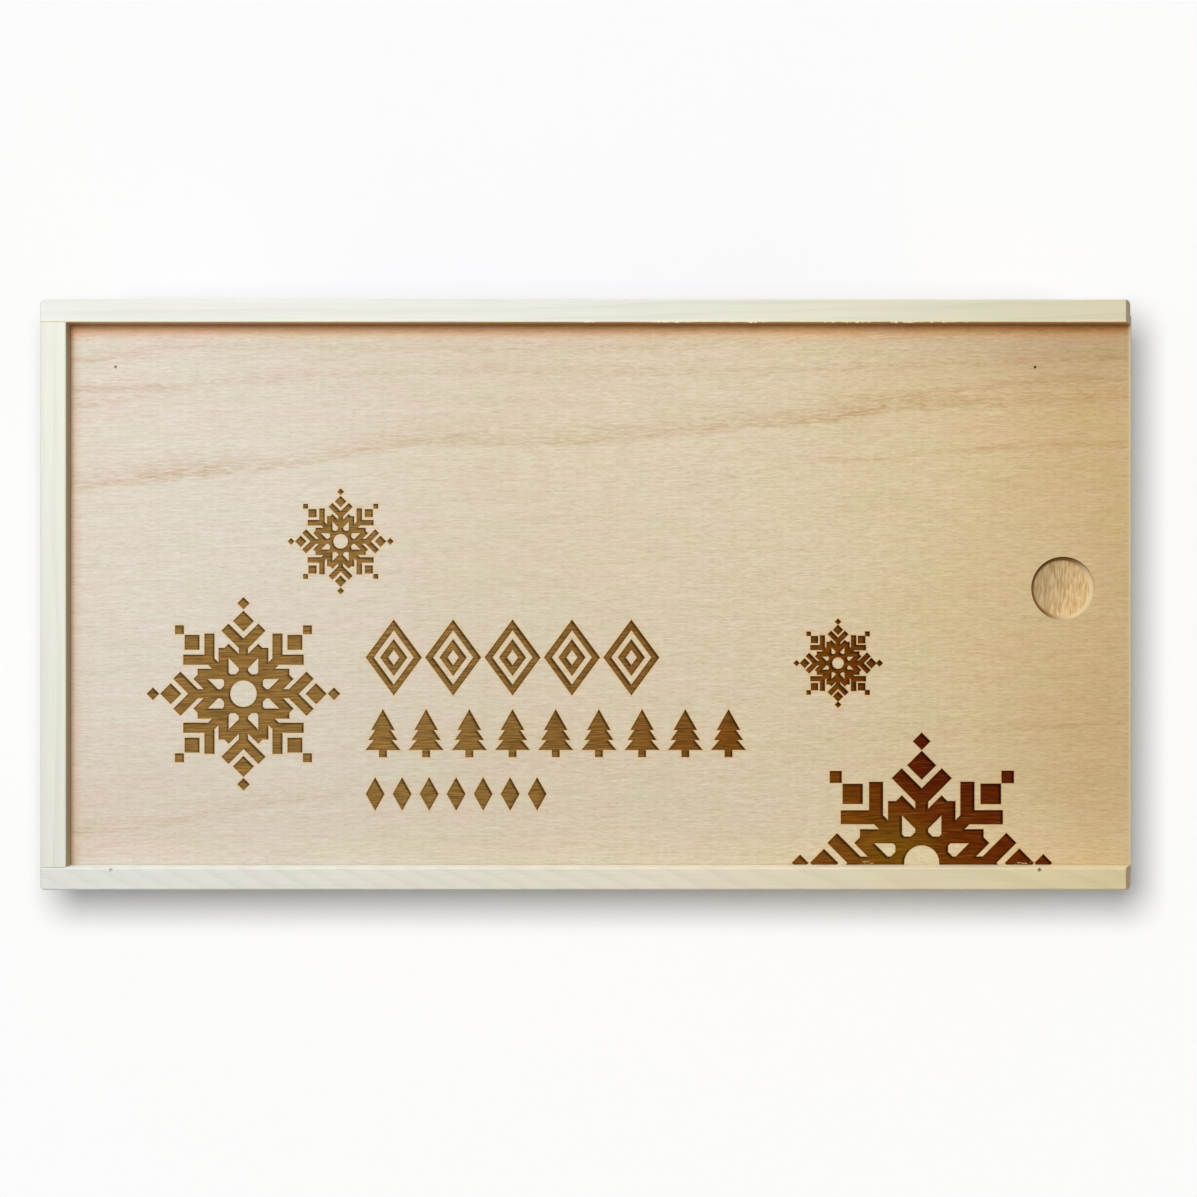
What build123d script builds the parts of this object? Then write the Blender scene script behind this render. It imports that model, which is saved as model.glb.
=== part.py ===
from build123d import *
import os

# Wooden gift box with a sliding lid. Millimetres, +Z up.
# Origin: middle of the footprint, on the surface the box stands on.
# +X points to the open end, where the lid is drawn out. +Y points to the back wall.

# Box
box_length = 361.5
box_width = 195.0
box_height = 105.0
side_wall_thickness = 7.5
end_wall_thickness = 8.5
groove_depth = 3.5

# Lid, and the lip that holds it down
lid_thickness = 4.0
lip_height = 5.5
lid_headroom = 0.5
lid_edge_clearance = 0.5
lid_overhang = 0.6

# Base panel, and the strip of wall below it
base_thickness = 3.0
base_lip_height = 4.0
base_headroom = 0.1
base_edge_clearance = 0.5

# Eased edges
arris_radius = 0.6
corner_radius = 1.4
lid_arris_radius = 0.4
rail_bevel_run = 2.9

# Brads, a column in each corner
brad_count = 3
brad_shank_diameter = 1.2
brad_head_diameter = 2.0
brad_head_height = 1.0
brad_length = 25.0
brad_point_length = 1.5
brad_sink = 0.4
brad_hole_clearance = 0.1
brad_groove_margin = 14.0

# Thumb recess in the lid
recess_diameter = 21.2
recess_depth = 2.0
recess_cove_radius = 1.5
recess_from_lid_end = 22.9
recess_off_centre = 2.1

# Engraving, burnt into the lid to one depth
engraving_depth = 0.4

# Snow stars: reach of the arms, and the centre's distance from an end of the box and from the front rail
small_star_reach = 17.7
small_star_from_closed_end = 98.4
small_star_rise = 107.8
large_star_reach = 32.3
large_star_from_closed_end = 66.0
large_star_rise = 57.0
outlying_star_reach = 14.8
outlying_star_from_open_end = 97.3
outlying_star_rise = 67.2
corner_star_reach = 43.4
corner_star_from_open_end = 69.4
corner_star_rise = 0.6

# Proportions of a snow star, as shares of its reach
star_arm_count = 8
tip_near = 0.618
tip_far = 0.703
gem_near = 0.457
gem_far = 0.604
outer_chevron_near = 0.302
outer_chevron_far = 0.618
inner_chevron_near = 0.156
inner_chevron_far = 0.470
chevron_width = 0.098
stem_near = 0.200
stem_far = 0.480
stem_width = 0.088
hub_square = 0.394
hub_hole_radius = 0.140

# Frieze of three rows beside the stars: lozenges in double line, solid firs, small solid beads
frieze_from_closed_end = 106.9
lozenge_count = 5
lozenge_width = 18.4
lozenge_height = 25.0
lozenge_pitch = 19.8
lozenge_line = 2.4
lozenge_outline_count = 4
lozenge_rise = 69.1
fir_count = 9
fir_width = 11.2
fir_height = 15.7
fir_pitch = 14.4
fir_rise = 43.8
fir_tier_count = 3
fir_trunk_width = 2.4
fir_trunk_height = 2.4
bead_count = 7
bead_width = 6.0
bead_height = 10.7
bead_pitch = 9.0
bead_rise = 23.6

# Prick marks at the corners of the engraved field, two on the lid and two on the front rail
prick_diameter = 1.0
prick_from_closed_end = 23.4
prick_from_open_end = 31.6
prick_rise_on_lid = 165.9
prick_inset_on_rail = 0.8

# Levels, from the floor up
base_groove_floor = base_lip_height
base_groove_height = base_thickness + base_headroom
base_groove_top = base_groove_floor + base_groove_height
lid_groove_height = lid_thickness + lid_headroom
lid_groove_top = box_height - lip_height
lid_groove_floor = lid_groove_top - lid_groove_height
lid_top = lid_groove_floor + lid_thickness

# Stations along the box
closed_end_x = -(box_length + lid_overhang) / 2
open_end_x = closed_end_x + box_length
lid_end_x = open_end_x + lid_overhang
closed_inner_x = closed_end_x + end_wall_thickness
open_inner_x = open_end_x - end_wall_thickness
closed_wall_mid_x = closed_end_x + end_wall_thickness / 2
open_wall_mid_x = open_end_x - end_wall_thickness / 2
box_mid_x = (closed_end_x + open_end_x) / 2

# Stations across the box
outer_half_width = box_width / 2
inner_half_width = outer_half_width - side_wall_thickness
inner_width = 2 * inner_half_width
front_rail_y = -inner_half_width

# Brad columns stand in the middle of the end walls' thickness, between the two grooves
brad_lowest_z = base_groove_top + brad_groove_margin
brad_highest_z = lid_groove_floor - brad_groove_margin
brad_pitch = (brad_highest_z - brad_lowest_z) / (brad_count - 1)
brad_mid_z = (brad_lowest_z + brad_highest_z) / 2
brad_column = (brad_pitch, brad_pitch, 1, brad_count)
brad_reach = brad_sink + brad_length
brad_hole_radius = (brad_shank_diameter + brad_hole_clearance) / 2
brad_head_hole_radius = (brad_head_diameter + brad_hole_clearance) / 2

prick_closed_x = closed_end_x + prick_from_closed_end
prick_open_x = open_end_x - prick_from_open_end

low_corner = (Align.MIN, Align.MIN)
low_right_corner = (Align.MAX, Align.MIN)
left_middle = (Align.MIN, Align.CENTER)
foot_middle = (Align.CENTER, Align.MIN)


def brad_plane(x, y):
    """Plane of a brad column on the wall face at y, facing out of the box."""
    outward = 1 if y > 0 else -1
    return Plane(origin=(x, y, brad_mid_z), x_dir=(1, 0, 0), z_dir=(0, outward, 0))


def drill_end_wall(wall_mid_x):
    """Blind brad holes in both ends of an end wall."""
    with Locations(brad_plane(wall_mid_x, inner_half_width), brad_plane(wall_mid_x, -inner_half_width)):
        with GridLocations(*brad_column):
            Hole(brad_hole_radius, brad_reach - side_wall_thickness)


def lozenge(width, height, mode=Mode.ADD):
    """A diamond standing on its point."""
    Polygon((-width / 2, 0), (0, -height / 2), (width / 2, 0), (0, height / 2), align=None, mode=mode)


def row_middle(count, pitch, width):
    """Middle of a frieze row that starts at the frieze's left edge."""
    return closed_end_x + frieze_from_closed_end + ((count - 1) * pitch + width) / 2


def save(piece, name):
    piece.label = name
    export_step(piece, f"parts/{name}.step")


os.makedirs("parts", exist_ok=True)

# Back wall: a board with a groove for the lid and one for the base, both running its whole length
with BuildPart() as side_wall_back:
    with BuildSketch(Plane.YZ.offset(closed_end_x)):
        with Locations((inner_half_width, 0)):
            Rectangle(side_wall_thickness, box_height, align=low_corner)
        with Locations((inner_half_width, lid_groove_floor)):
            Rectangle(groove_depth, lid_groove_height, align=low_corner, mode=Mode.SUBTRACT)
        with Locations((inner_half_width, base_groove_floor)):
            Rectangle(groove_depth, base_groove_height, align=low_corner, mode=Mode.SUBTRACT)
    extrude(amount=box_length)
    # The lip is bevelled back at the open end
    lip_end = side_wall_back.edges().filter_by(Axis.Y).group_by(Axis.Z)[-1].sort_by(Axis.X)[-1]
    end_face = side_wall_back.faces().filter_by(Axis.X).sort_by(Axis.X)[-1]
    chamfer(lip_end, length=lip_height, length2=rail_bevel_run, reference=end_face)
    fillet(side_wall_back.edges().filter_by(Axis.Z).group_by(Axis.Y)[-1], corner_radius)
    fillet(side_wall_back.faces().filter_by(Axis.Z).sort_by(Axis.Z)[-1].edges(), arris_radius)
    with Locations(
        brad_plane(closed_wall_mid_x, outer_half_width), brad_plane(open_wall_mid_x, outer_half_width)
    ):
        with GridLocations(*brad_column):
            CounterBoreHole(brad_hole_radius, brad_head_hole_radius, brad_head_height + brad_sink)
save(side_wall_back.part, "side_wall_back")

# Front wall: the back wall mirrored, with two prick marks in its top edge
with BuildPart() as side_wall_front:
    mirror(side_wall_back.part, about=Plane.XZ)
    with BuildSketch(Plane.XY.offset(box_height)):
        prick_y = front_rail_y - prick_inset_on_rail
        with Locations((prick_closed_x, prick_y), (prick_open_x, prick_y)):
            Circle(prick_diameter / 2)
    extrude(amount=-engraving_depth, mode=Mode.SUBTRACT)
save(side_wall_front.part, "side_wall_front")

# Closed end wall: full height between the side walls, grooved for the base and for the lid's far edge
with BuildPart() as end_wall_closed:
    with BuildSketch(Plane.XZ):
        with Locations((closed_end_x, 0)):
            Rectangle(end_wall_thickness, box_height, align=low_corner)
        with Locations((closed_inner_x, lid_groove_floor)):
            Rectangle(groove_depth, lid_groove_height, align=low_right_corner, mode=Mode.SUBTRACT)
        with Locations((closed_inner_x, base_groove_floor)):
            Rectangle(groove_depth, base_groove_height, align=low_right_corner, mode=Mode.SUBTRACT)
    extrude(amount=inner_half_width, both=True)
    fillet(end_wall_closed.edges().filter_by(Axis.Y).group_by(Axis.Z)[-1], arris_radius)
    drill_end_wall(closed_wall_mid_x)
save(end_wall_closed.part, "end_wall_closed")

# Open end wall: stops at the lid's underside, so that the lid slides out over its top
with BuildPart() as end_wall_open:
    with BuildSketch(Plane.XZ):
        with Locations((open_inner_x, 0)):
            Rectangle(end_wall_thickness, lid_groove_floor, align=low_corner)
        with Locations((open_inner_x, base_groove_floor)):
            Rectangle(groove_depth, base_groove_height, align=low_corner, mode=Mode.SUBTRACT)
    extrude(amount=inner_half_width, both=True)
    fillet(end_wall_open.edges().filter_by(Axis.Y).group_by(Axis.Z)[-1].sort_by(Axis.X)[-1], arris_radius)
    drill_end_wall(open_wall_mid_x)
save(end_wall_open.part, "end_wall_open")

# Base: a thin panel held in the lower groove on all four sides
base_tongue = groove_depth - base_edge_clearance
with BuildPart() as base_panel:
    with BuildSketch(Plane.XY.offset(base_groove_floor)):
        with Locations((box_mid_x, 0)):
            Rectangle(open_inner_x - closed_inner_x + 2 * base_tongue, inner_width + 2 * base_tongue)
    extrude(amount=base_thickness)
save(base_panel.part, "base_panel")

# Snow star of unit reach. Each arm is a tip square, a gem square and two nested chevrons about the
# diagonal of X and Y, joined by a stem to a hub of two crossed squares with a round hole
with BuildSketch() as snow_star:
    with PolarLocations(0, star_arm_count):
        for near, far in ((tip_near, tip_far), (gem_near, gem_far)):
            with Locations((near, near)):
                Rectangle(far - near, far - near, align=low_corner)
        for near, far in (
            (outer_chevron_near, outer_chevron_far),
            (inner_chevron_near, inner_chevron_far),
        ):
            with Locations((near, near)):
                Rectangle(far - near, chevron_width, align=low_corner)
                Rectangle(chevron_width, far - near, align=low_corner)
        with Locations((stem_near, 0)):
            Rectangle(stem_far - stem_near, stem_width, align=left_middle)
    Rectangle(hub_square, hub_square)
    Rectangle(hub_square, hub_square, rotation=360 / star_arm_count)
    Circle(hub_hole_radius, mode=Mode.SUBTRACT)

# Fir: a stack of triangles, each narrower than the one below and overlapping half of it, on a trunk
fir_tier_height = 2 * (fir_height - fir_trunk_height) / (fir_tier_count + 1)
with BuildSketch() as fir:
    for tier in range(fir_tier_count):
        foot = fir_trunk_height - fir_height / 2 + tier * fir_tier_height / 2
        half_foot = fir_width / 2 * (1 - tier / (2 * fir_tier_count))
        Polygon((-half_foot, foot), (half_foot, foot), (0, foot + fir_tier_height), align=None)
    with Locations((0, -fir_height / 2)):
        Rectangle(fir_trunk_width, fir_trunk_height + fir_tier_height / 2, align=foot_middle)

# Lid: a thin panel that slides in the upper groove, with a thumb recess and engraving in its face
lid_tongue = groove_depth - lid_edge_clearance
with BuildPart() as lid_panel:
    with BuildSketch(Plane.XY.offset(lid_groove_floor)):
        with Locations((closed_inner_x - lid_tongue, 0)):
            Rectangle(lid_end_x - closed_inner_x + lid_tongue, inner_width + 2 * lid_tongue, align=left_middle)
    extrude(amount=lid_thickness)
    fillet(lid_panel.edges().filter_by(Axis.Y).group_by(Axis.X)[-1], lid_arris_radius)
    with BuildSketch(Plane.XY.offset(lid_top)):
        with Locations((lid_end_x - recess_from_lid_end, recess_off_centre)):
            Circle(recess_diameter / 2)
    extrude(amount=-recess_depth, mode=Mode.SUBTRACT)
    recess_floor = lid_panel.faces().filter_by(Axis.Z).group_by(Axis.Z)[1]
    fillet(recess_floor.edges(), recess_cove_radius)
    with BuildSketch(Plane.XY.offset(lid_top)):
        for reach, star_x, star_rise in (
            (small_star_reach, closed_end_x + small_star_from_closed_end, small_star_rise),
            (large_star_reach, closed_end_x + large_star_from_closed_end, large_star_rise),
            (outlying_star_reach, open_end_x - outlying_star_from_open_end, outlying_star_rise),
            (corner_star_reach, open_end_x - corner_star_from_open_end, corner_star_rise),
        ):
            with Locations((star_x, front_rail_y + star_rise)):
                add(scale(snow_star.sketch, by=reach, mode=Mode.PRIVATE))
        with Locations((row_middle(lozenge_count, lozenge_pitch, lozenge_width), front_rail_y + lozenge_rise)):
            with GridLocations(lozenge_pitch, lozenge_pitch, lozenge_count, 1):
                for outline in range(lozenge_outline_count):
                    shrink = 1 - outline * 2 * lozenge_line / lozenge_width
                    line_mode = Mode.ADD if outline % 2 == 0 else Mode.SUBTRACT
                    lozenge(lozenge_width * shrink, lozenge_height * shrink, line_mode)
        with Locations((row_middle(fir_count, fir_pitch, fir_width), front_rail_y + fir_rise)):
            with GridLocations(fir_pitch, fir_pitch, fir_count, 1):
                add(fir.sketch)
        with Locations((row_middle(bead_count, bead_pitch, bead_width), front_rail_y + bead_rise)):
            with GridLocations(bead_pitch, bead_pitch, bead_count, 1):
                lozenge(bead_width, bead_height)
        prick_y = front_rail_y + prick_rise_on_lid
        with Locations((prick_closed_x, prick_y), (prick_open_x, prick_y)):
            Circle(prick_diameter / 2)
        # The engraving stops where the lid runs under the lips
        with Locations((closed_inner_x, 0)):
            Rectangle(lid_end_x - closed_inner_x, inner_width, align=left_middle, mode=Mode.INTERSECT)
    extrude(amount=-engraving_depth, mode=Mode.SUBTRACT)
save(lid_panel.part, "lid_panel")

# Brad: a small-headed pin, pointing down from the wall's face, with its head sunk below it
with BuildPart() as brad:
    with BuildSketch(Plane.XZ):
        with BuildLine():
            Polyline(
                (0, -brad_sink),
                (brad_head_diameter / 2, -brad_sink),
                (brad_head_diameter / 2, -brad_sink - brad_head_height),
                (brad_shank_diameter / 2, -brad_sink - brad_head_height),
                (brad_shank_diameter / 2, brad_point_length - brad_reach),
                (0, -brad_reach),
                close=True,
            )
        make_face()
    revolve(axis=Axis.Z)

for side_name, face_y in (("back", outer_half_width), ("front", -outer_half_width)):
    for end_name, wall_mid_x in (("closed", closed_wall_mid_x), ("open", open_wall_mid_x)):
        with BuildPart() as brads:
            with Locations(brad_plane(wall_mid_x, face_y)):
                with GridLocations(*brad_column):
                    add(brad.part)
        save(brads.part, f"brads_{side_name}_{end_name}")
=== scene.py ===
import math

import bpy
import numpy as np
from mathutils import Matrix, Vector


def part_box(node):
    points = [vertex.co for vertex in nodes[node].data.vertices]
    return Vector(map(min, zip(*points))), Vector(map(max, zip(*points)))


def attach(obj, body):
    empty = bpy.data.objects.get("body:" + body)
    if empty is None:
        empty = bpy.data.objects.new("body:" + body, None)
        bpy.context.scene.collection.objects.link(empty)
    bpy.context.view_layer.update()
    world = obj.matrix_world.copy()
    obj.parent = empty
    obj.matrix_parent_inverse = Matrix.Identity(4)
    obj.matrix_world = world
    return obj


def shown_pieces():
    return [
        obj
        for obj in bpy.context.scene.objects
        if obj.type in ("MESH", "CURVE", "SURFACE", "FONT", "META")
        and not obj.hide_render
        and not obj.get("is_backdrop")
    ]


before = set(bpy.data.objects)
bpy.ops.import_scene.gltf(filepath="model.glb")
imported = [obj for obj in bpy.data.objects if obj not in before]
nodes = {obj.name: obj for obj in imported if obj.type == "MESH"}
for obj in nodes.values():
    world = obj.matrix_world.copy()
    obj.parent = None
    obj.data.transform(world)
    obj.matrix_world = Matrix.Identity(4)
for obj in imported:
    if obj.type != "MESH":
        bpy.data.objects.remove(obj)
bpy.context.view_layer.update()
mm = 0.001  # places and sizes below are in millimetres, meshes and objects in metres
lidLow, lidHigh = (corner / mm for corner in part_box("lid_panel"))
backLow, backHigh = (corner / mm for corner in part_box("side_wall_back"))
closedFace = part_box("end_wall_closed")[1].x / mm  # inner face of the closed end
boxLeft, boxRight, rim = backLow.x, backHigh.x, backHigh.z
lipFace = backLow.y  # inner face of the back wall; the front wall's is at minus this
print("frame loaded,", len(nodes), "nodes")


# Small tools for node trees: a socket is linked, a number or colour is set

def feed(tree, socket, value):
    if isinstance(value, bpy.types.NodeSocket):
        tree.links.new(value, socket)
    else:
        socket.default_value = value


def calc(tree, operation, *terms):  # one Math node
    made = tree.nodes.new("ShaderNodeMath")
    made.operation = operation
    for socket, term in zip(made.inputs, terms):
        feed(tree, socket, term)
    return made.outputs[0]


def times(tree, product, *factors):
    for factor in factors:
        product = calc(tree, "MULTIPLY", product, factor)
    return product


def nearest(tree, least, *others):
    for other in others:
        least = calc(tree, "MINIMUM", least, other)
    return least


def swing(tree, value, amount, base):  # base, plus an amount times a noise's departure from its middle
    return calc(tree, "MULTIPLY_ADD", calc(tree, "SUBTRACT", value, 0.5), amount, base)


def between(tree, value, low, high):  # 0 at low, 1 at high
    return calc(tree, "DIVIDE", calc(tree, "SUBTRACT", value, low), high - low)


def vec(tree, operation, *terms):  # one Vector Math node
    made = tree.nodes.new("ShaderNodeVectorMath")
    made.operation = operation
    for socket, term in zip(made.inputs, terms):
        feed(tree, socket, term)
    return made.outputs["Value" if operation in ("LENGTH", "DOT_PRODUCT") else "Vector"]


def split(tree, vector):
    made = tree.nodes.new("ShaderNodeSeparateXYZ")
    feed(tree, made.inputs[0], vector)
    return made.outputs[0], made.outputs[1], made.outputs[2]


def join(tree, x, y, z=0.0):
    made = tree.nodes.new("ShaderNodeCombineXYZ")
    for socket, term in zip(made.inputs, (x, y, z)):
        feed(tree, socket, term)
    return made.outputs[0]


def inPlan(tree, point, middle, stretch=(1, 1, 0)):  # offset from a middle, seen from above
    return vec(tree, "MULTIPLY", vec(tree, "SUBTRACT", point, (*middle, 0)), stretch)


def rise(tree, value, low, high, start=0.0, end=1.0):  # start below low, end above high, smooth between
    made = tree.nodes.new("ShaderNodeMapRange")
    made.interpolation_type = "SMOOTHSTEP"
    for socket, term in zip(made.inputs, (value, low, high, start, end)):
        feed(tree, socket, term)
    return made.outputs[0]


def fall(tree, value, low, high, start=1.0):  # start below low, 0 above high
    return rise(tree, value, low, high, start, 0.0)


def mix(tree, share, first, second, blend="MIX"):  # two colours
    made = tree.nodes.new("ShaderNodeMix")
    made.data_type, made.blend_type = "RGBA", blend
    for socket, term in zip((made.inputs[0], made.inputs[6], made.inputs[7]), (share, first, second)):
        feed(tree, socket, (*term, 1.0) if isinstance(term, tuple) else term)
    return made.outputs[2]


def scaled(tree, colour, factor):  # the factor is a value or a colour
    return mix(tree, 1.0, colour, factor, "MULTIPLY")


def tinted(tree, share, colour, factor):
    return mix(tree, share, colour, scaled(tree, colour, factor))


def noise(tree, point, size, detail=2.0, warp=0.0):  # size is that of one cloud along x, y and z
    made = tree.nodes.new("ShaderNodeTexNoise")
    feed(tree, made.inputs["Vector"], vec(tree, "DIVIDE", point, size))
    made.inputs["Scale"].default_value = 1.0
    made.inputs["Detail"].default_value = detail
    made.inputs["Distortion"].default_value = warp
    return made.outputs["Fac"]


def toneAlong(tree, value, stops):  # colours at places, from the first place to the last
    made = tree.nodes.new("ShaderNodeValToRGB")
    elements = made.color_ramp.elements
    low, high = stops[0][0], stops[-1][0]
    while len(elements) < len(stops):
        elements.new(1.0)
    for element, (place, colour) in zip(elements, stops):
        element.position = (place - low) / (high - low)
        element.color = (*colour, 1.0)
    feed(tree, made.inputs[0], between(tree, value, low, high))
    return made.outputs[0]


def lineThrough(tree, value, floor, ceiling, points):  # a smooth line through points between two heights
    made = tree.nodes.new("ShaderNodeFloatCurve")
    curve = made.mapping.curves[0]
    low, high = points[0][0], points[-1][0]
    while len(curve.points) < len(points):
        curve.points.new(0.5, 0.5)
    for point, (x, y) in zip(curve.points, points):
        point.location = ((x - low) / (high - low), (y - floor) / (ceiling - floor))
    made.mapping.update()
    feed(tree, made.inputs["Value"], between(tree, value, low, high))
    return calc(tree, "MULTIPLY_ADD", made.outputs[0], ceiling - floor, floor)


number, direction = "NodeSocketFloat", "NodeSocketVector"


def startGroup(name, inputs, outputs):  # every output is a number
    tree = bpy.data.node_groups.new(name, "ShaderNodeTree")
    for label, kind, value in inputs:
        tree.interface.new_socket(label, in_out="INPUT", socket_type=kind).default_value = value
    for label in outputs:
        tree.interface.new_socket(label, in_out="OUTPUT", socket_type=number)
    return tree, tree.nodes.new("NodeGroupInput").outputs, tree.nodes.new("NodeGroupOutput").inputs


def place(tree, group, **values):
    made = tree.nodes.new("ShaderNodeGroup")
    made.node_tree = group
    for label, value in values.items():
        feed(tree, made.inputs[label], value)
    return made.outputs


def startMaterial(name):
    material = bpy.data.materials.new(name)
    material.use_nodes = True
    tree = material.node_tree
    point = tree.nodes.new("ShaderNodeTexCoord").outputs["Object"]
    return material, tree, tree.nodes["Principled BSDF"], vec(tree, "DIVIDE", point, (mm, mm, mm))


def nearness(tree, reach):  # ambient occlusion that places painted shade: 1 in a tight inner corner, 0 where nothing stands within reach
    made = tree.nodes.new("ShaderNodeAmbientOcclusion")
    made.samples = 8
    made.inputs["Distance"].default_value = reach * mm
    return fall(tree, made.outputs["AO"], 0.80, 0.97)


def roughen(tree, surface, value, least, more):  # roughness is the least, plus a share of a value
    feed(tree, surface.inputs["Roughness"], calc(tree, "MULTIPLY_ADD", value, more, least))


def addRelief(tree, surface, height, strength):  # of the grain, a tenth of a millimetre at most
    bump = tree.nodes.new("ShaderNodeBump")
    bump.inputs["Strength"].default_value = strength
    bump.inputs["Distance"].default_value = 0.1 * mm
    feed(tree, bump.inputs["Height"], height)
    feed(tree, surface.inputs["Normal"], bump.outputs[0])


def dress(material, *names):
    for name in names:
        nodes[name].data.materials.clear()
        nodes[name].data.materials.append(material)


# Sawn timber as a solid: year rings round a pith that runs along x or leans across it, and fibres and
# patches drawn out along x

timberSettings = {"swayCloud": (140, 22, 22), "fibreCloud": (26, 0.4, 0.4), "patchCloud": (60, 9, 9),
                  "lateWood": (0.35, 0.9), "ringEnd": (0.92, 1.0)}  # the last two as shares of a ring


def makeTimberFigure():
    s = timberSettings
    tree, given, result = startGroup(
        "timberFigure",
        [("Point", direction, (0, 0, 0)), ("Pith", direction, (0, 0, 0)), ("Lean", number, 0.0),
         ("Ring", number, 2.2), ("Sway", number, 3.0)],
        ["Rings", "Fibre", "Patch"],
    )
    point = given["Point"]
    sway = calc(tree, "MULTIPLY", noise(tree, point, s["swayCloud"], 2), given["Sway"])
    x, y, z = split(tree, vec(tree, "SUBTRACT", point, given["Pith"]))
    across = join(tree, 0.0, calc(tree, "SUBTRACT", y, calc(tree, "MULTIPLY", x, given["Lean"])), z)
    age = calc(tree, "DIVIDE", calc(tree, "ADD", vec(tree, "LENGTH", across), sway), given["Ring"])
    season = calc(tree, "FRACT", age)
    late = times(tree, rise(tree, season, *s["lateWood"]), fall(tree, season, *s["ringEnd"]))
    tree.links.new(late, result["Rings"])
    tree.links.new(noise(tree, point, s["fibreCloud"], 3), result["Fibre"])
    tree.links.new(noise(tree, point, s["patchCloud"], 3), result["Patch"])
    return tree


# Short dark ray flecks of beech: one drawn-out dash in each cell, of a strength of its own

fleckSettings = {"cell": (2.6, 0.42, 1.0), "dash": (0.10, 0.50)}  # the dash as a share of a cell


def makeRayFlecks():
    s = fleckSettings
    tree, given, result = startGroup("rayFlecks", [("Point", direction, (0, 0, 0))], ["Fleck"])
    cells = tree.nodes.new("ShaderNodeTexVoronoi")
    cells.voronoi_dimensions = "2D"
    cells.inputs["Scale"].default_value = 1.0
    feed(tree, cells.inputs["Vector"], vec(tree, "DIVIDE", given["Point"], s["cell"]))
    strength, _, _ = split(tree, cells.outputs["Color"])
    dash = fall(tree, cells.outputs["Distance"], *s["dash"])
    tree.links.new(times(tree, dash, strength), result["Fleck"])
    return tree


# Peeled veneer: long soft streaks, short wavy wisps, fine fibres and a blush, all along the grain

veneerClouds = {"Streak": ((60, 2.8, 1), 4, 0.3), "Wisp": ((4.6, 0.60, 1), 3, 1.0),  # size, detail and warp
                "Fibre": ((16, 0.32, 1), 2, 0.2), "Blush": ((24, 8, 1), 3, 0.0)}


def makeVeneerFigure():
    tree, given, result = startGroup("veneerFigure", [("Point", direction, (0, 0, 0))], list(veneerClouds))
    for label, cloud in veneerClouds.items():
        tree.links.new(noise(tree, given["Point"], *cloud), result[label])
    return tree


# A growth band: dark just above a feathery line, fading upwards over a given height

bandSettings = {"swellCloud": (18, 2.0, 1), "swell": 3.4, "featherCloud": (9, 0.6, 1), "feather": 2.8,
                "fadePower": 1.6}


def makeGrowthBand():
    s = bandSettings
    tree, given, result = startGroup(
        "growthBand",
        [("Point", direction, (0, 0, 0)), ("Line", number, 0.0), ("Fade", number, 10.0),
         ("Edge", number, 2.6)],
        ["Mask"],
    )
    point = given["Point"]
    _, y, _ = split(tree, point)
    above = calc(tree, "SUBTRACT", y, given["Line"])
    above = swing(tree, noise(tree, point, s["swellCloud"], 3), s["swell"], above)
    above = swing(tree, noise(tree, point, s["featherCloud"], 2), s["feather"], above)
    sharp = rise(tree, above, 0.0, given["Edge"])
    soft = calc(tree, "POWER", fall(tree, above, 0.0, given["Fade"]), s["fadePower"])
    tree.links.new(times(tree, sharp, soft), result["Mask"])
    return tree


timberFigure = makeTimberFigure()
rayFlecks = makeRayFlecks()
veneerFigure = makeVeneerFigure()
growthBand = makeGrowthBand()
print("wood groups built")


# Walls: pale bare wood, cooler and paler at the closed end, partly as painted light, with browner end
# grain; painted shade on the lip faces at the back and the closed end, and painted highlights on the front
# lip and the arrises

railSettings = {
    # tones along x: the wood's own drift together with painted light, brighter and cooler towards the
    # closed end
    "back": {"tones": [(-180, (0.718, 0.724, 0.684)), (0, (0.718, 0.728, 0.644)),
                       (180, (0.680, 0.620, 0.435))],
             "pith": (0, 60, 150), "lean": 0.02, "ring": 2.6,
             # lip face: painted shade with warm bounce; arris: a painted highlight
             "lip": [(-180, (0.84, 0.50, 0.27)), (0, (0.74, 0.37, 0.125)), (180, (0.78, 0.40, 0.145))],
             "paintedArrisHighlight": (1.28, 1.18, 1.05), "pricks": []},
    "front": {"tones": [(-180, (0.680, 0.690, 0.650)), (0, (0.715, 0.665, 0.550)),
                        (180, (0.708, 0.590, 0.340))],
              "pith": (0, -40, 128), "lean": -0.45, "ring": 5.0,
              # lip face and arris: painted highlights
              "lip": [(-180, (1.24, 1.27, 1.32)), (180, (1.24, 1.27, 1.32))],
              "paintedArrisHighlight": (1.06, 1.06, 1.06),
              "pricks": [(-157.65, -90.8, 0.35), (148.85, -90.8, 0.95)]},  # x, y and strength
    "end": {"tones": [(-180, (0.722, 0.727, 0.645)), (0, (0.73, 0.70, 0.58)), (180, (0.69, 0.61, 0.41))],
            "pith": (0, -130, 40), "lean": 0.0, "ring": 2.8,
            # lip face: painted shade; arris: a painted highlight
            "lip": [(-180, (0.60, 0.44, 0.30)), (180, (0.60, 0.44, 0.30))],
            "paintedArrisHighlight": (1.05, 1.03, 0.98), "pricks": []},
    "sway": 8.0, "ringShade": -0.05, "fibreShade": 0.16, "patchShade": 0.12,
    "blushCloud": (17, 4, 4), "blush": ((0.985, 1.01, 0.985), (1.02, 0.99, 0.995)),
    "sideTint": (1.05, 0.965, 0.85),  # below the rim and inside: warmer than the top faces, whose paler, cooler tone is partly painted light
    "endGrainTint": (0.70, 0.66, 0.60),
    "bevelRise": 5.5, "bevelRun": 2.9,  # cut of the side walls' open ends
    "prickTone": (0.16, 0.12, 0.055), "prickReach": (0.45, 0.75),
    "lipReach": 12.0, "roughness": (0.55, 0.72), "gleam": 0.2, "relief": 0.25,
}


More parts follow.
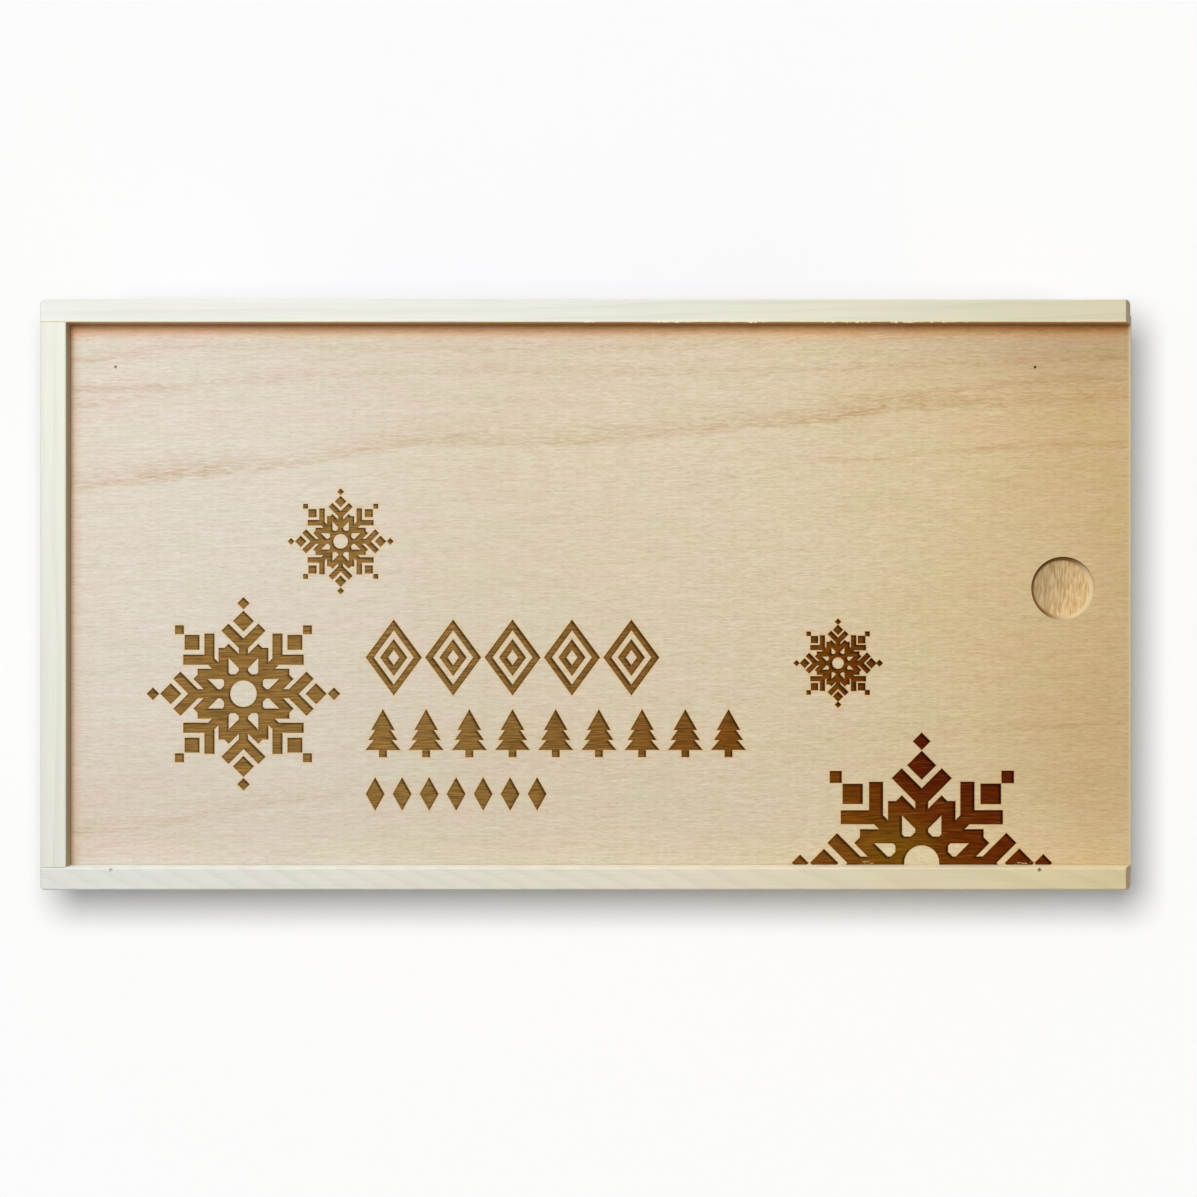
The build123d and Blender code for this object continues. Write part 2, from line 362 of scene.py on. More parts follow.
def makeRailWood(name, alongY=False):
    s = {**railSettings, **railSettings[name]}
    material, tree, surface, point = startMaterial(name + "RailWood")
    x, y, z = split(tree, point)
    grain = join(tree, y, x, z) if alongY else point
    figure = place(tree, timberFigure, Point=grain, Pith=s["pith"], Lean=s["lean"], Ring=s["ring"],
                   Sway=s["sway"])
    colour = toneAlong(tree, x, s["tones"])
    shade = swing(tree, figure["Fibre"], s["fibreShade"], 1.0)
    shade = calc(tree, "MULTIPLY_ADD", figure["Rings"], s["ringShade"], shade)
    shade = swing(tree, figure["Patch"], s["patchShade"], shade)
    colour = scaled(tree, colour, shade)
    blush = rise(tree, noise(tree, grain, s["blushCloud"], 3), 0.3, 0.7)
    colour = scaled(tree, colour, mix(tree, blush, *s["blush"]))
    # distance outwards from the inner face, and the cut ends that show end grain
    if alongY:
        outward = calc(tree, "SUBTRACT", calc(tree, "ABSOLUTE", x), -closedFace)
        ends = calc(tree, "GREATER_THAN", calc(tree, "ABSOLUTE", y), lipFace - 0.01)
    else:
        outward = calc(tree, "SUBTRACT", calc(tree, "ABSOLUTE", y), lipFace)
        cut = calc(tree, "MAXIMUM", calc(tree, "SUBTRACT", z, rim - s["bevelRise"]), 0.0)
        unbevelled = calc(tree, "MULTIPLY_ADD", cut, s["bevelRun"] / s["bevelRise"], x)
        rightEnd = rise(tree, unbevelled, boxRight - 0.3, boxRight - 0.05)
        ends = calc(tree, "ADD", rightEnd, fall(tree, x, boxLeft + 0.05, boxLeft + 0.3))
    # inside, the paler top tone ends under the lid; outside, at the rim
    inside = fall(tree, z, lidLow.z - 4, lidHigh.z)
    outside = times(tree, fall(tree, z, rim - 1.6, rim - 0.4), rise(tree, outward, 3.0, 6.0))
    colour = tinted(tree, calc(tree, "MAXIMUM", inside, outside), colour, s["sideTint"])
    # painted shade with warm bounce on lip faces close above the lid (a painted highlight on the front
    # lip), and a painted highlight on the arris above
    lip = times(tree, fall(tree, z, rim - 0.7, rim - 0.3), rise(tree, z, lidHigh.z, lidHigh.z + 0.4),
                fall(tree, outward, 0.02, 0.1), nearness(tree, s["lipReach"]))
    colour = tinted(tree, lip, colour, toneAlong(tree, x, s["lip"]))
    paintedArrisHighlight = times(tree, fall(tree, outward, 0.2, 1.0), rise(tree, z, rim - 0.55, rim - 0.3))
    colour = tinted(tree, paintedArrisHighlight, colour, s["paintedArrisHighlight"])
    colour = tinted(tree, ends, colour, s["endGrainTint"])
    for prickX, prickY, strength in s["pricks"]:
        away = vec(tree, "LENGTH", vec(tree, "SUBTRACT", point, (prickX, prickY, rim)))
        colour = mix(tree, fall(tree, away, *s["prickReach"], strength), colour, s["prickTone"])
    feed(tree, surface.inputs["Base Color"], colour)
    feed(tree, surface.inputs["Roughness"], rise(tree, figure["Fibre"], 0.2, 0.8, *s["roughness"]))
    surface.inputs["Specular IOR Level"].default_value = s["gleam"]
    addRelief(tree, surface, figure["Fibre"], s["relief"])
    return material


backRailWood = makeRailWood("back")
dress(backRailWood, "side_wall_back")
dress(makeRailWood("front"), "side_wall_front")
dress(makeRailWood("end", alongY=True), "end_wall_closed", "end_wall_open")
print("walls dressed")


# Torn fibres on the back wall's lip: a thin ribbon rooted in the arris, its free edge drawn out in tufts

fibreSettings = {"start": -40.0, "end": 174.0, "step": 0.08, "rows": 5, "rootY": 90.55, "rootZ": 104.945,
                 "cover": 0.42, "reach": 0.42, "droop": 0.20, "tuftDroop": 0.08, "thickness": 0.05,
                 "seed": 11, "tufts": [(0.4, 8.0), (0.3, 1.3), (0.3, 0.35)],  # shares and spacings
                 "threshold": 0.5, "span": 0.3,
                 "weights": [(-40, 0.0), (0, 0.5), (60, 1.0), (140, 0.9), (174, 0.3)]}


def softNoise(places, spacing, seed):
    # random heights at knots a spacing apart, joined by 3 t^2 - 2 t^3
    at = (places - places[0]) / spacing
    knots = np.random.default_rng(seed).random(int(at[-1]) + 2)
    low = at.astype(int)
    t = at - low
    return knots[low] + (knots[low + 1] - knots[low]) * (3 * t**2 - 2 * t**3)


def makeTornFibres():
    # reach of the free edge: three soft noises added, and only what stands above the threshold is kept;
    # across the ribbon y falls with t, and z with t squared
    s = fibreSettings
    x = np.arange(s["start"], s["end"], s["step"])
    tuft = sum(share * softNoise(x, spacing, s["seed"] + k)
               for k, (share, spacing) in enumerate(s["tufts"]))
    weight = np.interp(x, *zip(*s["weights"]))
    reach = s["reach"] * weight * np.clip((tuft - s["threshold"]) / s["span"], 0, 1)
    t = np.linspace(0, 1, s["rows"])
    y = s["rootY"] - np.outer(s["cover"] + reach, t)
    z = s["rootZ"] - np.outer(s["droop"] + s["tuftDroop"] * reach, t**2)
    points = np.stack([np.repeat(x, s["rows"]).reshape(y.shape), y, z], axis=-1).reshape(-1, 3) * mm
    index = np.arange(len(points)).reshape(y.shape)
    faces = np.stack([index[:-1, :-1], index[1:, :-1], index[1:, 1:], index[:-1, 1:]], axis=-1)
    mesh = bpy.data.meshes.new("tornFibres")
    mesh.from_pydata(points.tolist(), [], faces.reshape(-1, 4).tolist())
    mesh.materials.append(backRailWood)
    piece = bpy.data.objects.new("tornFibres", mesh)
    bpy.context.scene.collection.objects.link(piece)
    shell = piece.modifiers.new("thickness", "SOLIDIFY")
    shell.thickness = s["thickness"] * mm
    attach(piece, "box")


makeTornFibres()
print("torn fibres laid")


# The engraving as a distance in millimetres, negative inside a burnt figure

stars = {"small": (-82.65, 17.8, 17.7), "large": (-115.05, -33.0, 32.3),
         "outlying": (83.15, -22.8, 14.8), "corner": (111.05, -89.4, 43.4)}  # middle x, y and reach
starShape = {"tip": (0.618, 0.703), "gem": (0.457, 0.604), "outerBar": (0.302, 0.618),
             "innerBar": (0.156, 0.470), "barWidth": 0.098, "stem": (0.200, 0.480), "stemWidth": 0.088,
             "hubWidth": 0.394, "hole": 0.140}  # as shares of the reach
friezeLeft = -74.15
lozenges = {"count": 5, "pitch": 19.8, "width": 18.4, "height": 25.0, "line": 2.4, "y": -20.9}
firs = {"count": 9, "pitch": 14.4, "width": 11.2, "height": 15.7, "y": -46.2, "tiers": 3, "trunk": 2.4}
beads = {"count": 7, "pitch": 9.0, "width": 6.0, "height": 10.7, "y": -66.4}


def outsideOf(tree, point, near, far):
    # distance outside a rectangle: the larger over x and y of |place - middle| - half size
    middle = [(n + f) / 2 for n, f in zip(near, far)] + [0.0]
    half = [(f - n) / 2 for n, f in zip(near, far)] + [0.0]
    away = vec(tree, "ABSOLUTE", vec(tree, "SUBTRACT", point, middle))
    x, y, _ = split(tree, vec(tree, "SUBTRACT", away, half))
    return calc(tree, "MAXIMUM", x, y)


def makeStarField():
    # one snow star of reach 1: the angle is folded into half of one of the eight arms, so that each
    # arm's squares and bars are rectangles in axes turned by 45 degrees
    s = starShape
    tree, given, result = startGroup("starField", [("Point", direction, (0, 0, 0))], ["Distance"])
    x, y, _ = split(tree, given["Point"])
    radius = vec(tree, "LENGTH", given["Point"])
    angle = calc(tree, "PINGPONG", calc(tree, "ARCTAN2", y, x), math.pi / 8)
    along = times(tree, radius, calc(tree, "COSINE", angle))
    aside = times(tree, radius, calc(tree, "SINE", angle))
    half = math.sqrt(0.5)
    u = times(tree, calc(tree, "ADD", along, aside), half)
    v = times(tree, calc(tree, "SUBTRACT", along, aside), half)
    turned, straight = join(tree, u, v), join(tree, along, aside)

    def square(near, far):
        return outsideOf(tree, turned, (near, near), (far, far))

    def bar(axes, near, far):
        return outsideOf(tree, axes, (near, near), (far, near + s["barWidth"]))

    stemNear, stemFar = s["stem"]
    stem = outsideOf(tree, straight, (stemNear, -s["stemWidth"] / 2), (stemFar, s["stemWidth"] / 2))
    hub = calc(tree, "SUBTRACT", calc(tree, "MINIMUM", along, u), s["hubWidth"] / 2)
    nextArm = bar(straight, *s["innerBar"])
    figure = nearest(tree, square(*s["tip"]), square(*s["gem"]), bar(turned, *s["outerBar"]),
                     bar(turned, *s["innerBar"]), nextArm, stem, hub)
    hole = calc(tree, "SUBTRACT", s["hole"], radius)
    tree.links.new(calc(tree, "MAXIMUM", figure, hole), result["Distance"])
    return tree


def starDistance(tree, point, starField):
    # the star nearest in its own reach is the one that is worked out
    local, reach, closest = None, None, None
    for x, y, starReach in stars.values():
        here = vec(tree, "DIVIDE", vec(tree, "SUBTRACT", point, (x, y, 0)), (starReach,) * 3)
        far = vec(tree, "LENGTH", here)
        if local is None:
            local, reach, closest = here, starReach, far
            continue
        nearer = calc(tree, "LESS_THAN", far, closest)
        local = mix(tree, nearer, local, here)
        reach = calc(tree, "MULTIPLY_ADD", nearer, calc(tree, "SUBTRACT", starReach, reach), reach)
        closest = calc(tree, "MINIMUM", closest, far)
    return times(tree, place(tree, starField, Point=local)["Distance"], reach)


def foldRow(tree, point, row):
    # place within the nearest figure of a row: x less the nearest figure's middle
    x, y, _ = split(tree, point)
    first = friezeLeft + row["width"] / 2
    step = calc(tree, "ROUND", calc(tree, "DIVIDE", calc(tree, "SUBTRACT", x, first), row["pitch"]))
    step = calc(tree, "MAXIMUM", calc(tree, "MINIMUM", step, row["count"] - 1.0), 0.0)
    middle = calc(tree, "MULTIPLY_ADD", step, row["pitch"], first)
    return calc(tree, "ABSOLUTE", calc(tree, "SUBTRACT", x, middle)), calc(tree, "SUBTRACT", y, row["y"])


def diamondSize(tree, point, row):
    # |x| / half width + |y| / half height, which is 1 on the outline
    x, y = foldRow(tree, point, row)
    tall = calc(tree, "DIVIDE", calc(tree, "ABSOLUTE", y), row["height"] / 2)
    return calc(tree, "ADD", calc(tree, "DIVIDE", x, row["width"] / 2), tall)


def diamondUnit(row):  # the distance over which that size changes by 1
    return 1 / math.hypot(2 / row["width"], 2 / row["height"])


def lozengeDistance(tree, point):
    # two rings are burnt: the middle of one lies half a line inside the outline, of the other five halves
    size = diamondSize(tree, point, lozenges)
    halfLine = lozenges["line"] / lozenges["width"]  # as a share of the outline's size
    rings = []
    for halves in (1, 5):
        fromRing = calc(tree, "ABSOLUTE", calc(tree, "SUBTRACT", size, 1 - halves * halfLine))
        rings.append(calc(tree, "SUBTRACT", fromRing, halfLine))
    return times(tree, nearest(tree, *rings), diamondUnit(lozenges))


def firDistance(tree, point):
    # a trunk, and tiers that each lie above their foot and inside two sloping sides
    x, y = foldRow(tree, point, firs)
    halfTrunk, halfHeight = firs["trunk"] / 2, firs["height"] / 2
    shapes = [outsideOf(tree, join(tree, x, y), (-halfTrunk, -halfHeight), (halfTrunk, 0))]
    tierHeight = 2 * (firs["height"] - firs["trunk"]) / (firs["tiers"] + 1)
    for tier in range(firs["tiers"]):
        foot = firs["trunk"] - halfHeight + tier * tierHeight / 2
        halfFoot = firs["width"] / 2 * (1 - tier / (2 * firs["tiers"]))
        slope = math.hypot(tierHeight, halfFoot)
        sideways = times(tree, calc(tree, "SUBTRACT", x, halfFoot), tierHeight / slope)
        side = calc(tree, "MULTIPLY_ADD", calc(tree, "SUBTRACT", y, foot), halfFoot / slope, sideways)
        shapes.append(calc(tree, "MAXIMUM", side, calc(tree, "SUBTRACT", foot, y)))
    return nearest(tree, *shapes)


def beadDistance(tree, point):
    return times(tree, calc(tree, "SUBTRACT", diamondSize(tree, point, beads), 1.0), diamondUnit(beads))


def makeEngravingField(starField):
    tree, given, result = startGroup("engravingField", [("Point", direction, (0, 0, 0))], ["Distance"])
    point = vec(tree, "MULTIPLY", given["Point"], (1, 1, 0))
    figures = nearest(tree, starDistance(tree, point, starField), lozengeDistance(tree, point),
                      firDistance(tree, point), beadDistance(tree, point))
    tree.links.new(figures, result["Distance"])
    return tree


engravingField = makeEngravingField(makeStarField())


# Lid: beech-faced plywood, cream at the closed end and tan at the open one, partly as painted light

lidSettings = {
    "face": {
        # tones along x: the veneer's own drift together with painted light, brighter and cooler towards the
        # closed end
        "tones": [(-172, (0.672, 0.606, 0.521)), (-109, (0.660, 0.597, 0.504)),
                  (-43, (0.653, 0.565, 0.438)), (45, (0.678, 0.573, 0.411)), (70, (0.685, 0.570, 0.394)),
                  (124, (0.668, 0.522, 0.307)), (172, (0.622, 0.448, 0.228))],
        "driftCloud": (70, 40, 1), "drift": 60,
        "flow": -0.2,  # by how much the grain follows the first band's line
        "lineRange": (-90, 90), "weightRange": (0.0, 1.5),
        "bandTint": (0.82, 0.70, 0.57), "bandFeather": (0.36, 0.64, 1.15, 0.45),
        "bands": [  # points of the line and of the strength, heights of the fade and of the soft lower edge
            {"line": [(-176, 33.5), (-156, 35), (-137, 37.4), (-116, 38.8), (-96, 41.4), (-56, 48.4),
                      (-10, 48.4), (37, 52.6), (78, 56.2), (88, 57.6), (98, 59.4), (124, 61.2),
                      (157, 62.4), (181, 63.5)],
             "weight": [(-176, 0.6), (-156, 0.68), (-137, 1.05), (-116, 0.7), (-96, 0.5), (-56, 0.6),
                        (-10, 0.55), (37, 0.64), (76, 0.85), (88, 1.12), (102, 0.9), (124, 0.68),
                        (157, 0.5), (181, 0.4)],
             "fade": 13, "edge": 2.6},
            {"line": [(-176, 20), (0, 28), (54, 39), (70, 42.3), (100, 43.8), (122, 46.4), (181, 48.6)],
             "weight": [(-176, 0.0), (10, 0.05), (54, 0.4), (100, 0.5), (140, 0.7), (181, 0.6)],
             "fade": 5, "edge": 1.6},
            {"line": [(-176, 75.8), (-158, 77.9), (-143, 80.3), (-115, 80.9), (-57, 80.6), (50, 82),
                      (181, 88)],
             "weight": [(-176, 0.7), (-143, 0.6), (-110, 0.35), (0, 0.35), (100, 0.3), (181, 0.5)],
             "fade": 6, "edge": 1.6},
            {"line": [(-176, 66), (-157, 67.2), (-139, 68), (-115, 69.7), (-57, 72.3), (50, 73),
                      (110, 75), (181, 78)],
             "weight": [(-176, 0.8), (-150, 0.7), (-120, 0.4), (0, 0.3), (100, 0.45), (181, 0.6)],
             "fade": 6, "edge": 1.6},
            {"line": [(-176, 61), (-158, 63.2), (-140, 66.2), (-60, 60), (60, 64), (111, 64.9),
                      (137, 68.6), (181, 70)],
             "weight": [(-176, 0.7), (-145, 0.6), (-125, 0.05), (60, 0.05), (111, 0.7), (137, 0.7),
                        (181, 0.35)],
             "fade": 5, "edge": 1.6},
            {"line": [(-176, -81), (-143, -78.4), (-120, -73.4), (-90, -69.1), (0, -58), (181, -44)],
             "weight": [(-176, 0.5), (-120, 0.4), (-80, 0.25), (0, 0.1), (100, 0.2), (181, 0.35)],
             "fade": 7, "edge": 1.6},
        ],
        "regions": [  # strength along x and along y, and tint
            ((60, 170, 0.0, 1.0), (62, 92, 0.0, 1.0), (0.84, 0.83, 0.95)),  # open end, back corner
            ((60, 120, 0.0, 1.0), (-90, -55, 1.0, 0.0), (1.085, 1.12, 1.19)),  # open end, front
            ((-150, -20, 1.0, 0.0), (-88, -30, 1.0, 0.0), (0.99, 0.95, 0.91)),  # closed end, front corner
        ],
        "backReach": (40, 85), "backTint": (0.965, 0.955, 0.955),
        "blush": ((0.985, 1.01, 0.97), (1.02, 0.985, 1.0)),
        "wispTone": 1.35, "fleckTone": -0.34, "streakTone": 0.45, "fibreTone": 0.75, "middleTone": 0.55,
        "contrast": (-80, 100, 1.0, 1.35),  # wisps and flecks are stronger towards the open end
        "dark": (0.88, 0.84, 0.78), "light": (1.12, 1.16, 1.22),
        "lipReach": 12.0,  # the painted shade beside the lips shows only where a lip stands as near as this
        # painted shade beside the lips, with warm bounce at the back
        "paintedBackShadeAndBounce": [(-172, (1.10, 0.71, 0.44)), (-10, (1.00, 0.66, 0.40)), (172, (1.20, 0.89, 0.56))],
        "paintedFrontShade": (0.93, 0.965, 0.985), "paintedClosedShade": (0.94, 0.82, 0.73),
        "backFade": (0.3, 6.4), "frontFade": (1.0, 6.5), "closedFade": (0.4, 4.0),
        "endTone": (0.62, 0.57, 0.41), "endStart": 1.6, "endFull": 0.6, "endShare": 0.6,
    },
    "burn": {
        "tones": [(-40, (0.244, 0.132, 0.034)), (88, (0.164, 0.049, 0.002)),
                  (118, (0.122, 0.022, 0.0008)), (150, (0.103, 0.0135, 0.0004))],
        "coolBelow": -75.0, "coolSpan": 12.0, "coolShare": 0.8,  # heat grows with y as far as the span
        "hottest": {"middle": (114, -54), "stretch": (0.6, 1, 0), "reach": (6, 20),
                    "tint": (0.72, 0.44, 0.4)},
        "mildest": {"middle": (103, -85), "stretch": (0.8, 1, 0), "reach": (3, 15), "share": 0.7,
                    "tone": (0.175, 0.080, 0.004)},
        "goldCloud": (11, 0.9, 1), "goldRange": (0.56, 0.72), "goldShare": (-60, 60, 0.6, 0.25),
        "goldTone": (0.36, 0.16, 0.03),
        "streakCloud": (7, 0.4, 1), "streakShade": (0.25, 0.75, 0.52, 1.40),
        "edgeOffset": (0.6, 0.45, 0), "edgeShade": (-0.35, 0.45, 1.05, 0.36),
        "chipCloud": (1.6, 0.6, 1), "chipRange": (0.58, 0.63), "chipStart": 0.4, "chipEnd": 1.8,
        "chipPlaces": (93.5, 144.5), "chipSpread": (2.0, 4.0, 0.9), "chipTone": (0.50, 0.38, 0.18),
        "scorchTint": (1.06, 0.93, 0.73), "scorchFade": (0.0, 1.3, 0.9),
        "rimAlongX": (60, 110, 0.12, 0.27), "rimAlongY": (-20, 10, 1.0, 0.4),  # breadth of the charred rim
        "rimSoftness": 0.15,
        "figureReach": 0.3, "openMargin": 0.45, "lipMargin": 0.2,  # how far burnt walls and floors go
        "faceDepth": 0.03, "floorDepth": 0.45,  # between these a point lies in the engraving
    },
    "edge": {
        "fineCloud": (0.5, 5, 1), "broadCloud": (1.4, 6, 1), "coreRange": (0.36, 0.64),
        "coreTones": ((0.51, 0.310, 0.138), (0.77, 0.575, 0.302)),
        "recessMiddle": (158.15, 2.1), "recessRadius": 10.65,
        "lean": (0.9, -0.44, 0),  # towards the recess's lower right-hand side
        # painted shade on the upper left of the recess's wall and floor, a painted highlight on the lower
        # right
        "leanShade": (-9.5, 6.0, 0.70, 1.09), "wallTurn": (-3.0, 8.0), "wallStart": 1.8, "wallFull": 0.9,
        "wallShade": (0.24, 0.11, 0.03), "wallGleam": (0.72, 0.58, 0.34),
        "veneer": 1.1, "glueLine": (0.03, 0.12), "glueShare": 0.6, "glueTone": (0.20, 0.12, 0.06),
        "prickTones": [(-157.65, (0.36, 0.28, 0.21)), (148.85, (0.13, 0.075, 0.035))],
        "prickY": 75.9, "prickRadius": 0.7,
    },
    "roughness": (0.6, 0.25), "gleam": 0.03, "relief": 0.3, "fleckRelief": -0.4,
}


def makeLidFace(tree, point):
    s = lidSettings["face"]
    x, y, _ = split(tree, point)
    # drift of tone, growth bands and broad regions
    drift = swing(tree, noise(tree, point, s["driftCloud"], 2), s["drift"], x)
    veneer = toneAlong(tree, drift, s["tones"])
    flow = lineThrough(tree, x, *s["lineRange"], s["bands"][0]["line"])
    grain = join(tree, x, calc(tree, "MULTIPLY_ADD", flow, s["flow"], y))
    figure = place(tree, veneerFigure, Point=grain)
    feather = rise(tree, figure["Wisp"], *s["bandFeather"])
    for band in s["bands"]:
        line = lineThrough(tree, x, *s["lineRange"], band["line"])
        weight = lineThrough(tree, x, *s["weightRange"], band["weight"])
        mask = place(tree, growthBand, Point=point, Line=line, Fade=band["fade"], Edge=band["edge"])["Mask"]
        veneer = tinted(tree, times(tree, mask, feather, weight), veneer, s["bandTint"])
    for alongX, alongY, tint in s["regions"]:
        region = times(tree, rise(tree, x, *alongX), rise(tree, y, *alongY))
        veneer = tinted(tree, region, veneer, tint)
    veneer = tinted(tree, rise(tree, y, *s["backReach"]), veneer, s["backTint"])
    blush = rise(tree, figure["Blush"], 0.3, 0.7)
    veneer = scaled(tree, veneer, mix(tree, blush, *s["blush"]))
    # wisps, ray flecks, streaks and fibres along the grain
    fleck = place(tree, rayFlecks, Point=grain)["Fleck"]
    tone = swing(tree, figure["Wisp"], s["wispTone"], 0.0)
    tone = calc(tree, "MULTIPLY_ADD", fleck, s["fleckTone"], tone)
    tone = calc(tree, "MULTIPLY_ADD", tone, rise(tree, x, *s["contrast"]), s["middleTone"])
    tone = swing(tree, figure["Streak"], s["streakTone"], tone)
    tone = swing(tree, figure["Fibre"], s["fibreTone"], tone)
    veneer = scaled(tree, veneer, mix(tree, tone, s["dark"], s["light"]))
    # painted shade close beside the lips: browner, with warm bounce, at the back and at the closed end,
    # cooler at the front; and a paler open end
    close = nearness(tree, s["lipReach"])
    fromBack = fall(tree, calc(tree, "SUBTRACT", lipFace, y), *s["backFade"])
    veneer = tinted(tree, times(tree, fromBack, close), veneer, toneAlong(tree, x, s["paintedBackShadeAndBounce"]))
    fromFront = fall(tree, calc(tree, "ADD", y, lipFace), *s["frontFade"])
    veneer = tinted(tree, times(tree, fromFront, close), veneer, s["paintedFrontShade"])
    fromClosed = fall(tree, calc(tree, "SUBTRACT", x, closedFace), *s["closedFade"])
    veneer = tinted(tree, times(tree, fromClosed, close), veneer, s["paintedClosedShade"])
    openEnd = rise(tree, x, lidHigh.x - s["endStart"], lidHigh.x - s["endFull"], 0.0, s["endShare"])
    return mix(tree, openEnd, veneer, s["endTone"]), figure, fleck, grain, drift


def makeBurn(tree, point, grain, drift):
    # olive brown to red brown, streaked along the grain, darker along upper and right-hand edges
    s = lidSettings["burn"]
    x, y, _ = split(tree, point)
    upwards = calc(tree, "MINIMUM", calc(tree, "SUBTRACT", y, s["coolBelow"]), s["coolSpan"])
    burn = toneAlong(tree, calc(tree, "MULTIPLY_ADD", upwards, s["coolShare"], drift), s["tones"])
    hot, mild = s["hottest"], s["mildest"]
    fromHot = vec(tree, "LENGTH", inPlan(tree, point, hot["middle"], hot["stretch"]))
    burn = tinted(tree, fall(tree, fromHot, *hot["reach"]), burn, hot["tint"])
    fromMild = vec(tree, "LENGTH", inPlan(tree, point, mild["middle"], mild["stretch"]))
    burn = mix(tree, fall(tree, fromMild, *mild["reach"], mild["share"]), burn, mild["tone"])
    gold = rise(tree, noise(tree, grain, s["goldCloud"], 3), *s["goldRange"])
    burn = mix(tree, times(tree, gold, rise(tree, x, *s["goldShare"])), burn, s["goldTone"])
    streak = noise(tree, grain, s["streakCloud"], 3, 0.5)
    burn = scaled(tree, burn, rise(tree, streak, *s["streakShade"]))
    beyond = place(tree, engravingField, Point=vec(tree, "ADD", point, s["edgeOffset"]))["Distance"]
    burn = scaled(tree, burn, rise(tree, beyond, *s["edgeShade"]))
    # pale chips where the largest figure is cut off by the front lip
    atLip = fall(tree, y, s["chipStart"] - lipFace, s["chipEnd"] - lipFace)
    speckle = rise(tree, noise(tree, point, s["chipCloud"], 2), *s["chipRange"])
    spread = nearest(tree, *[calc(tree, "ABSOLUTE", calc(tree, "SUBTRACT", x, chipX))
                             for chipX in s["chipPlaces"]])
    chips = times(tree, atLip, speckle, fall(tree, spread, *s["chipSpread"]))
    return mix(tree, chips, burn, s["chipTone"])


def scorchFace(tree, point, veneer, burn, outside):
    # heat has warmed the face beside the burnt figures and charred a narrow rim, as far as the lips
    s = lidSettings["burn"]
    x, y, _ = split(tree, point)
    bare = calc(tree, "LESS_THAN", calc(tree, "ABSOLUTE", y), lipFace)
    warmth = times(tree, fall(tree, outside, *s["scorchFade"]), bare)
    face = tinted(tree, warmth, veneer, s["scorchTint"])
    breadth = times(tree, rise(tree, x, *s["rimAlongX"]), rise(tree, y, *s["rimAlongY"]))
    past = calc(tree, "SUBTRACT", outside, breadth)
    charred = times(tree, fall(tree, past, -s["rimSoftness"], s["rimSoftness"]), bare)
    return mix(tree, charred, face, burn)


def makeLidEdge(tree, point, depth, veneer, fromMiddle, inRecess):
    # cross-grained core in the thumb recess, with painted shade on the upper left of its wall and floor and
    # a painted highlight on the lower right of its wall, and on the edges
    s = lidSettings["edge"]
    fine, broad = noise(tree, point, s["fineCloud"], 2, 0.6), noise(tree, point, s["broadCloud"], 3, 1.4)
    streak = calc(tree, "MULTIPLY_ADD", fine, 0.5, times(tree, broad, 0.5))
    core = mix(tree, rise(tree, streak, *s["coreRange"]), *s["coreTones"])
    lean = vec(tree, "DOT_PRODUCT", fromMiddle, s["lean"])
    core = scaled(tree, core, rise(tree, lean, *s["leanShade"]))
    wall = mix(tree, rise(tree, lean, *s["wallTurn"]), s["wallShade"], s["wallGleam"])
    radius = s["recessRadius"]
    onWall = rise(tree, vec(tree, "LENGTH", fromMiddle), radius - s["wallStart"], radius - s["wallFull"])
    core = mix(tree, times(tree, onWall, inRecess), core, wall)
    # two face veneers, the core, and a thin glue line between, by distance from the nearer face
    fromFace = calc(tree, "MINIMUM", depth, calc(tree, "SUBTRACT", lidHigh.z - lidLow.z, depth))
    fromGlue = calc(tree, "SUBTRACT", fromFace, s["veneer"])
    inCore = calc(tree, "GREATER_THAN", fromGlue, 0.0)
    edge = mix(tree, calc(tree, "MAXIMUM", inCore, inRecess), veneer, core)
    glue = fall(tree, calc(tree, "ABSOLUTE", fromGlue), *s["glueLine"])
    glueShare = calc(tree, "MULTIPLY_ADD", inRecess, -s["glueShare"], s["glueShare"])
    edge = mix(tree, times(tree, glue, glueShare), edge, s["glueTone"])
    for prickX, prickTone in s["prickTones"]:
        away = vec(tree, "LENGTH", inPlan(tree, point, (prickX, s["prickY"])))
        edge = mix(tree, calc(tree, "LESS_THAN", away, s["prickRadius"]), edge, prickTone)
    return edge


